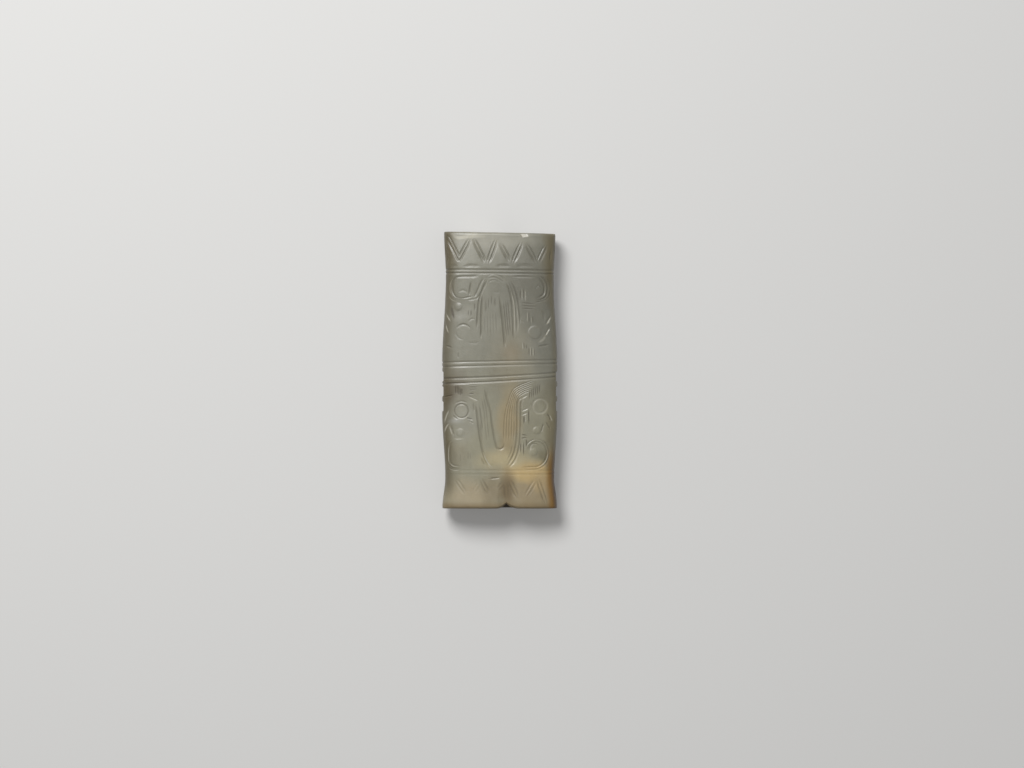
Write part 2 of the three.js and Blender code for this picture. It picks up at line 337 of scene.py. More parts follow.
# The carving of the front, part by part, in millimetres from the middle of the bar. The back has the same,
# a little shallower
TOP_BAND = [
    vee(0.75, 0.18, (-14.0, 35.7), (-10.55, 29.2), (-7.7, 34.5)),
    leg(0.75, 0.27, (-6.9, 34.6), (-3.55, 27.9)),
    leg(0.75, 0.21, (-3.25, 27.6), (-0.85, 34.3)),
    leg(0.75, 0.19, (0.1, 33.4), (2.9, 28.1)),
    leg(0.75, 0.19, (3.2, 27.6), (5.8, 33.7)),
    leg(0.75, 0.17, (6.8, 33.4), (10.0, 27.6)),
    leg(0.75, 0.13, (9.7, 27.7), (12.3, 33.1)),
    groove(0.6, 0.15, (-13.9, 32.3), (-13.4, 27.8)),
    groove(0.6, 0.16, (13.3, 31.5), (13.2, 28.2)),
    groove(1.4, 0.06, (-13.4, 27.1), (-12.1, 27.3), (-10.8, 27.2)),
    groove(1.4, 0.09, (-9.9, 27.0), (-7.2, 27.3), (-4.5, 27.0)),
    groove(1.4, 0.08, (-1.5, 27.0), (0.9, 27.3), (3.3, 27.0)),
    groove(1.4, 0.06, (3.9, 27.1), (6.6, 27.3), (9.4, 27.0)),
]

UPPER_LEFT = [
    # Scroll and the panel in it
    strip(0.65, 0.12, (-4.6, 25.0), (-8.0, 25.0), (-10.4, 24.95), (-11.6, 24.6)),
    groove(0.8, 0.12, (-5.1, 24.35), (-8.0, 24.4), (-10.4, 24.4), (-11.6, 24.1), (-12.3, 22.9),
           (-12.35, 21.0), (-11.8, 19.6), (-10.8, 18.9), (-9.4, 18.85), (-7.6, 19.2), (-6.5, 19.75)),
    scratch_with_highlight(0.4, 0.04, (-11.9, 24.3), (-12.75, 23.1), (-13.0, 21.4), (-12.75, 20.1), (-11.9, 18.95),
            shade=FAINT_SCRATCH_HIGHLIGHT),
    groove(0.5, 0.1, (-13.7, 20.1), (-13.2, 18.9), (-12.2, 18.2), (-10.8, 17.95)),
    scratch_with_highlight(0.36, 0.05, (-13.5, 19.9), (-12.9, 18.8), (-12.1, 18.2), (-11.0, 17.9), shade=FAINT_SCRATCH_HIGHLIGHT),
    groove(0.8, 0.06, (-9.6, 18.1), (-7.5, 18.45), (-5.7, 18.7)),
    strip(0.9, 0.12, (-3.6, 24.3), (-4.3, 22.9), (-5.2, 20.8), (-5.85, 19.5), (-6.5, 19.0), (-7.4, 18.85)),
    groove(0.6, 0.2, (-2.9, 24.0), (-3.6, 22.8), (-4.5, 20.9), (-5.1, 19.3), (-5.5, 17.4), (-5.8, 14.0),
           (-6.0, 10.5)),
    groove(0.65, 0.18, (-7.4, 23.4), (-7.7, 21.5), (-8.0, 19.2)),
    ring(1.0, 0.05, (-9.6, 19.9), 1.0, 0, 180),
    # Boss, claws and eye
    boss(0.14, (-10.85, 16.6), 1.05),
    *hatch(1.0, 0.2, ((-12.8, 17.1), (-12.35, 15.2), (-11.85, 12.9))),
    scratch_with_highlight(0.45, 0.1, (-14.1, 15.1), (-13.5, 13.9), (-12.6, 12.6)),
    scratch_with_highlight(0.4, 0.1, (-14.1, 12.4), (-13.85, 11.1), (-13.2, 9.5)),
    ring(0.75, 0.14, (-9.45, 10.05), 1.95, 10, 165),
    ring(0.75, 0.045, (-9.45, 10.05), 1.95, 165, 280),
    groove(0.6, 0.05, (-8.3, 12.5), (-7.4, 13.4), (-6.2, 13.3)),
    groove(0.7, 0.14, (-14.1, 6.5), (-13.2, 6.2), (-12.4, 5.9)),
    groove(0.5, 0.09, (-10.85, 4.9), (-10.8, 3.0)),
    *hatch(0.45, 0.11, ((-6.5, 17.8), (-6.45, 15.4)), ((-7.4, 16.0), (-7.45, 13.9)),
           ((-8.1, 16.0), (-8.2, 14.0))),
]

ARCH = [
    groove(0.75, 0.2, (-4.45, 20.0), (-4.65, 17.3), (-4.78, 14.0), (-4.8, 11.0), (-4.9, 8.9), (-5.15, 7.8)),
    groove(0.9, 0.035, (-5.2, 7.9), (-5.9, 7.2), (-7.3, 7.2), (-8.6, 7.5)),
    strip(0.7, 0.07, (-3.5, 23.6), (-2.7, 24.4), (-1.4, 24.65), (0.3, 23.9), (1.6, 22.6)),
    groove(0.7, 0.04, (-3.4, 22.2), (-2.6, 23.2), (-1.3, 23.5), (0.0, 22.9), (0.9, 21.8)),
    groove(0.65, 0.14, (1.5, 23.3), (2.5, 20.8), (3.15, 17.4), (3.4, 13.7), (3.5, 11.0), (3.6, 9.0),
           (4.2, 7.3)),
    groove(0.55, 0.1, (2.2, 23.4), (3.3, 20.8), (4.05, 17.4), (4.35, 13.7), (4.4, 11.0), (4.3, 8.6)),
    groove(0.65, 0.14, (2.9, 23.4), (4.1, 20.8), (4.9, 17.4), (5.25, 13.9), (5.3, 11.6)),
    scratch_with_highlight(0.3, 0.02, (2.9, 20.8), (3.65, 17.4), (3.85, 13.7), (3.95, 11.0), (4.0, 8.6)),
    scratch_with_highlight(0.3, 0.02, (4.3, 17.4), (4.75, 13.7), (4.8, 11.0), (4.75, 8.8), shade=FAINT_SCRATCH_HIGHLIGHT),
    groove(0.85, 0.18, (-0.15, 19.6), (0.3, 16.6), (0.65, 13.7), (0.95, 11.0), (1.25, 7.6), (1.35, 5.4)),
    *hatch(0.42, 0.1, ((1.0, 18.6), (1.9, 8.0)), ((1.55, 19.0), (2.4, 8.3)), ((2.05, 19.2), (2.9, 9.0))),
    groove(0.9, 0.03, (-2.0, 20.4), (0.2, 20.3)),
    *hatch(0.4, 0.05, ((-3.9, 14.6), (-3.8, 9.0)), ((-3.2, 15.6), (-3.1, 8.4)), ((-2.5, 16.0), (-2.3, 8.2)),
           ((-1.8, 16.2), (-1.5, 8.4)), ((-1.1, 16.0), (-0.7, 9.0))),
    *hatch(0.45, 0.09, ((-3.5, 18.9), (-3.55, 14.6)), ((-2.85, 19.2), (-2.9, 15.8)),
           ((-2.1, 19.8), (-2.1, 16.6)), ((-1.2, 19.3), (-1.15, 16.2))),
]

UPPER_RIGHT = [
    # Scroll
    groove(0.9, 0.08, (2.6, 24.4), (6.0, 24.45), (9.9, 24.3)),
    strip(0.7, 0.15, (9.3, 24.5), (10.7, 24.0), (11.8, 22.8), (12.1, 21.3), (11.8, 19.7), (10.8, 18.9),
          (9.2, 18.5)),
    groove(0.55, 0.09, (11.9, 24.5), (12.9, 23.4), (13.3, 21.5), (12.9, 19.5), (11.8, 18.4), (10.2, 17.9),
           (8.3, 17.9)),
    groove(0.6, 0.05, (9.3, 20.6), (9.7, 21.9), (10.5, 22.1), (10.9, 21.3), (10.4, 20.5)),
    # Fret beside the arch
    scratch_with_highlight(0.34, 0.05, (5.75, 22.0), (5.8, 17.7), shade=FAINT_SCRATCH_HIGHLIGHT),
    scratch_with_highlight(0.34, 0.05, (6.6, 21.6), (6.7, 17.5), shade=FAINT_SCRATCH_HIGHLIGHT),
    scratch_with_highlight(0.34, 0.05, (7.15, 15.8), (7.2, 12.0), shade=FAINT_SCRATCH_HIGHLIGHT),
    scratch_with_highlight(0.34, 0.05, (8.2, 14.3), (8.3, 11.8), shade=FAINT_SCRATCH_HIGHLIGHT),
    *hatch(0.42, 0.12, ((5.4, 21.3), (5.45, 18.0)), ((6.2, 21.8), (6.25, 18.0)), ((7.65, 15.6), (7.7, 12.0)),
           ((8.6, 14.4), (8.65, 12.2))),
    *hatch(0.45, 0.1, ((4.9, 17.65), (9.8, 17.3)), ((5.0, 16.9), (10.2, 16.6)), ((5.3, 16.2), (9.8, 15.9))),
    groove(0.5, 0.05, (5.2, 14.0), (5.6, 12.9), (6.8, 12.4)),
    # Eye, claws and lower lines
    boss(0.09, (9.12, 9.93), 1.85),
    groove(1.0, 0.05, (9.9, 16.3), (11.2, 15.4), (11.5, 13.5), (11.3, 11.0), (11.0, 9.2), (10.3, 7.9)),
    scratch_with_highlight(0.5, 0.2, (13.45, 14.4), (12.7, 13.0), (11.95, 11.7)),
    scratch_with_highlight(0.8, 0.2, (13.0, 13.6), (12.6, 12.8), (12.1, 12.0)),
    scratch_with_highlight(0.6, 0.22, (13.25, 11.5), (12.4, 10.0), (11.65, 8.7)),
    scratch_with_highlight(0.9, 0.06, (12.1, 9.4), (11.3, 8.1), (9.8, 7.1), shade=FAINT_SCRATCH_HIGHLIGHT),
    groove(0.8, 0.12, (13.2, 6.8), (11.5, 6.5), (9.5, 6.2)),
    scratch_with_highlight(0.4, 0.05, (5.95, 7.6), (5.9, 5.3), shade=FAINT_SCRATCH_HIGHLIGHT),
    scratch_with_highlight(0.32, 0.04, (7.95, 6.5), (8.0, 3.4)),
    scratch_with_highlight(0.32, 0.04, (8.65, 6.5), (8.7, 3.2)),
    *hatch(0.36, 0.1, ((7.65, 6.2), (7.7, 3.6)), ((8.3, 6.2), (8.35, 3.4)), ((9.0, 6.0), (9.05, 3.5))),
    *hatch(0.48, 0.1, ((6.2, 7.6), (6.5, 5.4)), ((6.9, 7.0), (7.1, 5.4))),
]

LOWER_LEFT = [
    # Hatched corner above the eye
    *hatch(0.38, 0.2, ((-11.6, -3.5), (-11.5, -6.5)), ((-11.15, -3.4), (-11.05, -6.5)),
           ((-10.7, -3.7), (-10.65, -6.7)), ((-10.3, -4.2), (-10.25, -6.8)), ((-9.9, -4.4), (-9.85, -6.6))),
    *hatch(0.32, 0.11, ((-8.5, -3.75), (-5.2, -3.7)), ((-8.5, -4.2), (-5.2, -4.15)),
           ((-8.4, -4.65), (-5.4, -4.6)), ((-8.2, -5.1), (-5.8, -5.05))),
    groove(0.6, 0.17, (-14.9, -6.95), (-13.5, -6.7), (-11.9, -6.35)),
    *hatch(0.5, 0.12, ((-8.2, -6.05), (-6.5, -6.05))),
    scratch_with_highlight(0.6, 0.14, (-8.6, -6.5), (-7.4, -7.05), (-5.5, -7.9)),
    # Eye and claws
    ring(0.6, 0.15, (-9.94, -10.55), 1.8),
    ring(0.7, 0.06, (-9.94, -10.55), 2.55, 40, 150),
    groove(0.75, 0.17, (-12.2, -11.5), (-11.5, -12.3), (-10.6, -12.75)),
    groove(0.65, 0.17, (-8.8, -12.2), (-7.9, -12.55), (-6.8, -12.8)),
    groove(0.55, 0.1, (-8.3, -12.95), (-7.4, -13.4), (-6.6, -13.9)),
    scratch_with_highlight(0.6, 0.16, (-13.0, -9.9), (-13.9, -11.6), (-14.6, -13.9)),
    scratch_with_highlight(0.6, 0.16, (-12.9, -13.5), (-13.9, -14.5), (-14.6, -16.3)),
    scratch_with_highlight(0.5, 0.08, (-13.15, -14.1), (-12.75, -15.6), (-12.2, -17.2)),
    groove(0.65, 0.2, (-12.75, -13.8), (-12.3, -15.6), (-11.6, -17.7)),
    boss(0.09, (-10.3, -16.1), 1.1),
    scratch_with_highlight(0.5, 0.12, (-12.2, -17.8), (-9.2, -17.75)),
    # Scroll
    strip(0.6, 0.09, (-11.3, -18.35), (-12.5, -18.5), (-13.15, -19.3), (-13.3, -20.5), (-13.3, -22.4),
          (-13.1, -24.1), (-12.3, -24.95), (-11.1, -25.15), (-9.8, -25.05)),
    scratch_with_highlight(0.36, 0.03, (-12.6, -18.8), (-13.25, -20.0), (-13.4, -22.2), (-13.2, -24.0), (-12.4, -24.9)),
    groove(0.55, 0.11, (-13.6, -24.4), (-13.0, -25.4), (-11.8, -25.8), (-9.7, -25.6)),
    *hatch(0.4, 0.05, ((-8.2, -20.5), (-8.2, -23.5)), ((-7.7, -21.0), (-7.7, -23.5)),
           ((-10.3, -21.5), (-10.3, -24.0))),
]

TONGUE = [
    # Left leg
    groove(0.85, 0.22, (-6.2, -8.4), (-5.75, -12.3), (-5.4, -15.4), (-4.85, -18.9), (-4.4, -21.1),
           (-3.7, -23.2), (-2.9, -24.6), (-2.0, -25.5)),
    scratch_with_highlight(0.5, 0.04, (-4.3, -21.2), (-3.5, -23.2), (-2.5, -24.7), (-1.3, -25.5)),
    groove(0.6, 0.12, (-6.9, -8.2), (-6.75, -9.5), (-6.6, -11.0)),
    groove(0.6, 0.15, (-5.5, -8.3), (-5.0, -10.6), (-4.6, -13.7), (-4.35, -16.8)),
    groove(0.6, 0.13, (-4.9, -22.4), (-4.3, -23.8), (-3.5, -25.0)),
    groove(0.8, 0.16, (-4.0, -4.5), (-3.1, -8.3), (-2.35, -10.8), (-2.0, -13.7), (-1.55, -16.7),
           (-1.1, -18.7), (-0.75, -20.0), (-0.1, -20.45), (0.6, -20.3), (1.1, -19.6), (1.2, -18.4)),
    *hatch(0.4, 0.06, ((-4.9, -6.4), (-4.1, -10.5), (-3.75, -14.5), (-3.3, -19.0)),
           ((-4.4, -5.6), (-3.5, -10.3), (-3.1, -14.5), (-2.6, -18.6)),
           ((-5.3, -12.0), (-4.9, -15.5), (-4.3, -19.2))),
    # Lines of the right leg, which turn out to the upper right
    *bundle(6, 0.36, 0.12,
            ((9.6, -2.2), (7.3, -3.05), (5.3, -3.85), (3.6, -4.9), (2.85, -6.3), (2.25, -8.0), (1.5, -10.8),
             (1.15, -14.5), (1.1, -18.9)),
            ((9.0, -4.9), (7.6, -5.4), (6.1, -6.05), (5.0, -6.85), (4.5, -7.9), (4.35, -9.2), (4.4, -11.2),
             (4.5, -14.5), (4.3, -18.9))),
    *hatch(0.5, 0.08, ((3.4, -18.6), (2.9, -21.2), (1.6, -23.9)), ((4.2, -18.6), (3.6, -21.4), (2.2, -24.2))),
    strip(0.75, 0.16, (6.7, -6.7), (5.6, -7.5), (5.1, -8.6), (5.0, -12.0), (5.0, -14.5), (4.85, -18.0),
          (4.4, -20.7), (3.7, -22.8), (2.7, -24.4), (1.8, -25.3)),
    scratch_with_highlight(0.5, 0.14, (7.5, -6.3), (6.6, -6.8), (5.75, -7.4), (5.2, -8.4)),
]

LOWER_RIGHT = [
    # Hatched corner
    *hatch(0.36, 0.16, ((7.95, -4.8), (7.75, -7.7)), ((8.5, -4.1), (8.3, -7.7)), ((9.0, -3.6), (8.8, -7.4)),
           ((9.55, -3.3), (9.3, -7.0)), ((10.05, -2.9), (9.8, -6.8)), ((10.5, -3.1), (10.3, -6.3))),
    # Ladder and comb
    scratch_with_highlight(0.46, 0.14, (5.45, -10.7), (7.7, -9.7)),
    scratch_with_highlight(0.42, 0.12, (5.5, -11.75), (7.2, -11.0)),
    scratch_with_highlight(0.32, 0.05, (6.75, -11.2), (6.8, -13.8)),
    groove(0.6, 0.2, (5.5, -8.3), (5.5, -12.5), (5.45, -16.6)),
    *hatch(0.5, 0.16, ((7.55, -9.6), (7.6, -14.5)), ((6.3, -11.5), (6.35, -14.2))),
    *hatch(0.5, 0.14, ((5.5, -16.6), (7.3, -16.9)), ((5.2, -17.65), (7.4, -17.4)),
           ((6.95, -17.5), (6.9, -20.1))),
    *hatch(0.44, 0.16, ((6.25, -18.2), (6.2, -22.6)), ((5.45, -18.2), (5.4, -21.8))),
    scratch_with_highlight(0.36, 0.05, (5.85, -18.0), (5.8, -22.0), shade=FAINT_SCRATCH_HIGHLIGHT),
    scratch_with_highlight(0.36, 0.05, (6.6, -17.8), (6.55, -21.6), shade=FAINT_SCRATCH_HIGHLIGHT),
    # Eye, claws and boss
    ring(0.9, 0.1, (10.43, -9.2), 1.85)._replace(shade=PALE_RING),
    groove(0.6, 0.22, (12.3, -11.0), (13.0, -12.1), (13.6, -13.5)),
    scratch_with_highlight(0.32, 0.02, (12.75, -11.2), (13.4, -12.3), (13.85, -13.6)),
    groove(0.55, 0.16, (11.85, -13.1), (12.6, -14.2), (13.4, -15.7)),
    groove(0.8, 0.27, (11.6, -13.2), (11.15, -15.0), (10.6, -16.8)),
    boss(0.15, (9.67, -15.6), 1.05),
    # Spiral, whose tail runs back along the girdle
    strip(0.5, 0.12, (7.15, -21.4), (7.15, -20.0), (7.6, -19.1), (8.6, -18.4), (9.6, -18.2), (10.9, -18.5),
          (11.9, -19.3), (12.5, -20.6), (12.6, -21.9), (12.1, -23.5), (11.2, -24.6), (9.9, -25.3),
          (8.1, -25.45), (5.3, -25.45)),
    scratch_with_highlight(0.44, 0.06, (12.65, -20.6), (12.6, -21.8), (12.15, -23.4), (11.2, -24.55), (9.7, -25.3)),
    groove(0.6, 0.2, (7.75, -21.6), (7.6, -20.5), (8.05, -19.5), (8.9, -19.0), (9.9, -19.3), (10.6, -20.3)),
    scratch_with_highlight(0.42, 0.12, (8.1, -21.0), (8.1, -20.1), (8.7, -19.5)),
    ring(0.6, 0.09, (8.8, -21.3), 1.25, 190, 350),
    boss(0.12, (8.8, -21.2), 1.1),
]

BOTTOM_BAND = [
    *hatch(1.0, 0.045, ((0.9, -28.6), (1.5, -33.8)), ((2.1, -28.2), (2.2, -34.2)),
           ((3.0, -29.6), (2.8, -33.4))),
    groove(0.55, 0.14, (-3.1, -28.2), (0.5, -27.85)),
    strip(0.7, 0.08, (-11.5, -28.1), (-8.7, -32.3)),
    strip(0.7, 0.13, (-5.0, -28.1), (-2.7, -32.5)),
    strip(0.7, 0.04, (-5.1, -29.0), (-6.9, -32.0)),
    strip(0.8, 0.16, (2.3, -28.0), (5.0, -33.7)),
    strip(0.7, 0.05, (1.0, -29.2), (-0.6, -31.2)),
    strip(0.75, 0.08, (9.7, -28.0), (6.5, -33.3)),
    strip(0.75, 0.16, (9.9, -27.9), (12.45, -35.3)),
]

CARVING = TOP_BAND + UPPER_LEFT + ARCH + UPPER_RIGHT + LOWER_LEFT + TONGUE + LOWER_RIGHT + BOTTOM_BAND

# Girdles run right round. Each has its height at the middle, its rise for each millimetre to the right, its
# bow for each square millimetre from the middle, and the gap between its two cuts and their depth, at the
# left and at the right
Girdle = namedtuple("Girdle", "height rise bow gap depth")
GIRDLES = (
    Girdle(25.7, -0.01, 0.0, (0.75, 0.75), (0.15, 0.1)),
    Girdle(1.9, 0.024, 0.0, (1.0, 0.83), (0.12, 0.08)),
    Girdle(-2.17, 0.055, 0.001, (1.2, 0.93), (0.19, 0.12)),
    Girdle(-26.5, 0.0, 0.0, (0.9, 0.9), (0.01, 0.06)),
)

# Vs on the two long sides, one at each end: half spreads at the point and at the open end, how far past the
# open end's spread their cuts may reach, and the heights of both
SIDE_V_START = 0.1
SIDE_V_SPREAD = 2.4
SIDE_V_MARGIN = 1
SIDE_V_TOP = 33.6
SIDE_V_POINT = 28.9
SIDE_V_DEPTH = 0.16
SIDE_V_GAP = 0.8


def smoothstep(start, full, value):
    """0 before the start, 1 past the full value and an easy curve between. Either may be the higher one."""
    share = np.clip((value - start) / (full - start), 0, 1)
    return share * share * (3 - 2 * share)


def eased(stations, y):
    """Value at y on the same easy curve through the stations as in the part's source."""
    places = np.array([place for place, _ in stations])
    values = np.array([value for _, value in stations])
    after = np.clip(np.searchsorted(places, y, side="right"), 1, len(places) - 1)
    share = smoothstep(places[after - 1], places[after], y)
    return values[after - 1] + (values[after] - values[after - 1]) * share


def oval(wave):
    """One coordinate of the oval section, from its cosine or sine."""
    return np.sign(wave) * np.abs(wave) ** (2 / SECTION_POWER)


def lattice_noise(points, cell, seed):
    """Smooth noise from -1 to 1 at each point, from random values on a lattice with this cell."""
    values = np.random.RandomState(seed).uniform(-1, 1, (LATTICE_SIZE, LATTICE_SIZE, LATTICE_SIZE))
    scaled = points / cell + LATTICE_SHIFT
    low = np.floor(scaled).astype(int)
    share = smoothstep(0, 1, scaled - low)
    total = np.zeros(len(points))
    for corner in np.ndindex(2, 2, 2):
        weight = np.prod(np.where(np.array(corner), share, 1 - share), axis=1)
        index = (low + corner) % LATTICE_SIZE
        total += weight * values[index[:, 0], index[:, 1], index[:, 2]]
    return total


def column_angles():
    """Angles round the section, evenly spaced along the middle section, on the front and on the back."""
    fine = np.linspace(0, math.pi, OUTLINE_POINTS)
    x = eased(WIDTHS, np.zeros(1)) / 2 * oval(np.cos(fine))
    z = eased(THICKNESSES, np.zeros(1)) / 2 * oval(np.sin(fine))
    along = np.concatenate(([0], np.cumsum(np.hypot(np.diff(x), np.diff(z)))))
    front = np.interp(np.arange(0, along[-1], FRONT_STEP), along, fine)
    back = math.pi + np.interp(np.arange(0, along[-1], BACK_STEP), along, fine)
    return np.concatenate((front, back))


def outer_rows(angles, heights, insets):
    """Points of the outer surface, one row for each height, as an array of rows, columns and x, y, z."""
    half_width = (eased(WIDTHS, heights) / 2 - CORNER_SHARE * insets)[:, None]
    half_thickness = (eased(THICKNESSES, heights) / 2 - insets)[:, None]
    x = half_width * oval(np.cos(angles))
    z = half_thickness * oval(np.sin(angles))
    y = heights[:, None] - end_fall(x, heights[:, None])
    return np.stack((x, y, z), 2)


def end_fall(x, y):
    """How much lower a place is than on a square bar, because the top end is cut at a slant."""
    return TOP_FALL * x / TOP_WIDTH * (y - BOTTOM) / LENGTH


def bore_radius(y):
    """Radius of the bore at a height: an hourglass with worn mouths."""
    from_end = TOP - np.abs(y)
    taper = BORE_THROAT_RADIUS + (BORE_MOUTH_RADIUS - BORE_THROAT_RADIUS) * np.abs(y) / TOP
    worn = MOUTH_WEAR * np.clip(1 - from_end / MOUTH_WEAR_LENGTH, 0, 1) ** 2
    return taper + worn


def bar_rows():
    """Rows of the closed surface: up the outside, over the top end, down the bore and over the bottom end.

    Returns the points and how many of the rows are the outside with its two rounded ends."""
    angles = column_angles()
    turns = np.linspace(0, math.pi / 2, ROUND_ROWS + 1)
    rise = EDGE_ROUND * (1 - np.cos(turns))
    inset = EDGE_ROUND * (1 - np.sin(turns))
    sides = np.arange(BOTTOM + EDGE_ROUND + ROW_STEP, TOP - EDGE_ROUND - ROW_STEP / 2, ROW_STEP)
    heights = np.concatenate((BOTTOM + rise, sides, TOP - rise[::-1]))
    insets = np.concatenate((inset, np.zeros(len(sides)), inset[::-1]))
    outside = outer_rows(angles, heights, insets)

    def bore_ring(rim, y):
        turn = np.arctan2(rim[:, 2], rim[:, 0] - BORE_X)
        x = BORE_X + bore_radius(y) * np.cos(turn)
        z = bore_radius(y) * np.sin(turn)
        return np.stack((x, y - end_fall(x, y), z), 1)

    mouth = np.linspace(0, MOUTH_WEAR_LENGTH, MOUTH_ROWS)
    from_end = np.concatenate((mouth, np.linspace(BORE_ROWS_START, TOP, BORE_ROWS // 2)))
    depths = np.concatenate((TOP - from_end, BOTTOM + from_end[-2::-1]))
    bore = np.stack([bore_ring(outside[-1], y) for y in depths])
    shares = np.linspace(0, 1, FACE_ROWS + 1)[1:-1, None, None]
    top_face = outside[-1] + (bore[0] - outside[-1]) * shares
    bottom_face = bore[-1] + (outside[0] - bore[-1]) * shares
    return np.concatenate((outside, top_face, bore, bottom_face)), len(outside)


def grid_normals(points):
    """Outward normals of the closed grid of rows and columns."""
    along = np.roll(points, -1, 0) - np.roll(points, 1, 0)
    around = np.roll(points, -1, 1) - np.roll(points, 1, 1)
    normals = np.cross(along, around)
    return normals / np.maximum(np.linalg.norm(normals, axis=2, keepdims=True), TINY)


def place_on(points, path, taper):
    """Place of points by a path of straight pieces.

    Returns the distance, a share that fades at the path's ends, and whether a point is on its left."""
    nearest = np.full(len(points), np.inf)
    on_left = np.zeros(len(points), bool)
    along = np.zeros(len(points))
    passed = 0.0
    for start, stop in zip(path, path[1:]):
        piece = stop - start
        length = np.hypot(*piece)
        share = np.clip((points - start) @ piece / max(length**2, TINY), 0, 1)
        distance = np.linalg.norm(points - start - share[:, None] * piece, axis=1)
        along = np.where(distance < nearest, passed + share * length, along)
        turn = piece[0] * (points[:, 1] - start[1]) - piece[1] * (points[:, 0] - start[0])
        on_left = np.where(distance < nearest, turn > 0, on_left)
        nearest = np.minimum(nearest, distance)
        passed += length
    if taper == 0:
        return nearest, np.ones(len(points)), on_left
    taper = min(taper, TAPER_SHARE * passed)
    return nearest, smoothstep(0, taper, along) * smoothstep(0, taper, passed - along), on_left


def groove_share(distance, width):
    """Share of a groove's depth at a distance from its middle."""
    share = np.clip(distance / (width / 2), 0, 1)
    return (1 - share**2) ** 2


def strip_share(distance, gap, outside=STRIP_SLOPE):
    """Share of the depth beside a raised strip, steep on the strip's side, and the strip's own share."""
    wall = smoothstep(0.5 * gap - STRIP_WALL, 0.5 * gap, distance)
    slope = 1 - smoothstep(0.5 * gap, 0.5 * gap + outside, distance)
    return wall * slope, 1 - wall


def boss_share(distance, radius):
    """Share of the depth round a boss: a small one is a ball, and a big one is flat with a round edge."""
    if radius < BIGGEST_BALL:
        wall = np.clip(distance / radius, 0, 1) ** 3
    else:
        wall = smoothstep(radius - EYE_EDGE, radius, distance)
    return wall * (1 - smoothstep(radius, radius + BOSS_SLOPE, distance))


def carved_depth(points):
    """Depth of the carving at each point of the outside, and how dark dirt and painted shade make it there,
    or how pale it is below 0, with a painted highlight.
    """
    depth = np.zeros(len(points))
    shade = np.zeros(len(points))
    pale = np.zeros(len(points))
    raised = np.zeros(len(points))
    plan = points[:, :2]
    for line in CARVING:
        reach = line.width / 2 + REACHES[line.kind]
        low, high = line.points.min(0) - reach, line.points.max(0) + reach
        near = np.flatnonzero(((plan > low) & (plan < high)).all(1))
        distance, fade, on_left = place_on(plan[near], line.points, line.taper)
        width = line.width * (POINT_WIDTH + (1 - POINT_WIDTH) * fade)
        if line.kind == "groove":
            cut = groove_share(distance, width)
        elif line.kind == "boss":
            cut = boss_share(distance, line.width / 2)
        else:
            slope = np.where(on_left, STEEP_SLOPE, GENTLE_SLOPE) if line.kind == "leg" else STRIP_SLOPE
            cut, own = strip_share(distance, width, slope)
            raised[near] = np.maximum(raised[near], own * fade)
        depth[near] = np.maximum(depth[near], line.depth * cut * fade)
        shade[near] = np.maximum(shade[near], line.shade * cut * fade)
        pale[near] = np.maximum(pale[near], -line.shade * cut * fade)
    x, y = plan.T
    across = np.clip(x / TOP_WIDTH + 0.5, 0, 1)
    for girdle in GIRDLES:
        distance = np.abs(y - girdle.height - girdle.rise * x - girdle.bow * x**2)
        cut, own = strip_share(distance, np.interp(across, (0, 1), girdle.gap))
        girdle_depth = np.interp(across, (0, 1), girdle.depth) * cut
        depth = np.maximum(depth, girdle_depth)
        shade = np.maximum(shade, girdle_depth / FULL_CUT)
        raised = np.maximum(raised, own)
    side = np.abs(points[:, 2]) < SIDE_V_SPREAD + SIDE_V_MARGIN
    for sign in (1, -1):
        flat = np.stack((np.abs(points[:, 2]), sign * plan[:, 1]), 1)
        half_v = np.array(((SIDE_V_START, SIDE_V_POINT), (SIDE_V_SPREAD, SIDE_V_TOP)))
        distance, fade, _ = place_on(flat, half_v, TAPER)
        cut, own = strip_share(distance, SIDE_V_GAP)
        depth = np.maximum(depth, SIDE_V_DEPTH * cut * fade * side)
        shade = np.maximum(shade, SIDE_V_DEPTH / FULL_CUT * cut * fade * side)
        raised = np.maximum(raised, own * fade * side)
    back = np.where(points[:, 2] < 0, BACK_DEPTH, 1)
    return back * depth * (1 - raised), np.where(pale > 0, -pale, shade * (1 - raised))


def trough_depth(points):
    """How deep the worn trough above the broken lip is at each point."""
    x, y, z = points.T
    centre = BORE_X + TROUGH_RIGHT_OF_BORE - TROUGH_LEAN * (y - BOTTOM)
    across = (x - centre) / (TROUGH_WIDTH / 2)
    along = (y - BOTTOM) / TROUGH_LENGTH
    return TROUGH_DEPTH * np.clip(1 - across**2 - along**2, 0, 1) ** TROUGH_POWER * (z > 0)


def lip_bite(x):
    """How far the broken lip is bitten up from the bottom end, across it."""
    shoulder = LIP_SHOULDER_DEPTH * (1 - smoothstep(LIP_FLAT, LIP_WIDTH / 2, np.abs(x - BORE_X)))
    sharp = np.clip(1 - np.abs(x - LIP_PEAK_X) / (LIP_SHARP_WIDTH / 2), 0, 1)
    return shoulder + (LIP_DEPTH - LIP_SHOULDER_DEPTH) * sharp**LIP_POWER


def edge_notch(y):
    """How deep the notches in the long edges are at each height."""
    depth = np.zeros(len(y))
    for start in NOTCH_STARTS:
        inside = np.minimum(start - y, y - start + NOTCH_LENGTH)
        depth = np.maximum(depth, NOTCH_DEPTH * smoothstep(0, NOTCH_SLOPE, inside))
    return depth


def in_patch(points, centre, radii, softness):
    """1 inside an oval patch of the plan, fading to 0 round it."""
    away = np.hypot((points[:, 0] - centre[0]) / radii[0], (points[:, 1] - centre[1]) / radii[1])
    return 1 - smoothstep(1 - softness, 1 + softness, away)


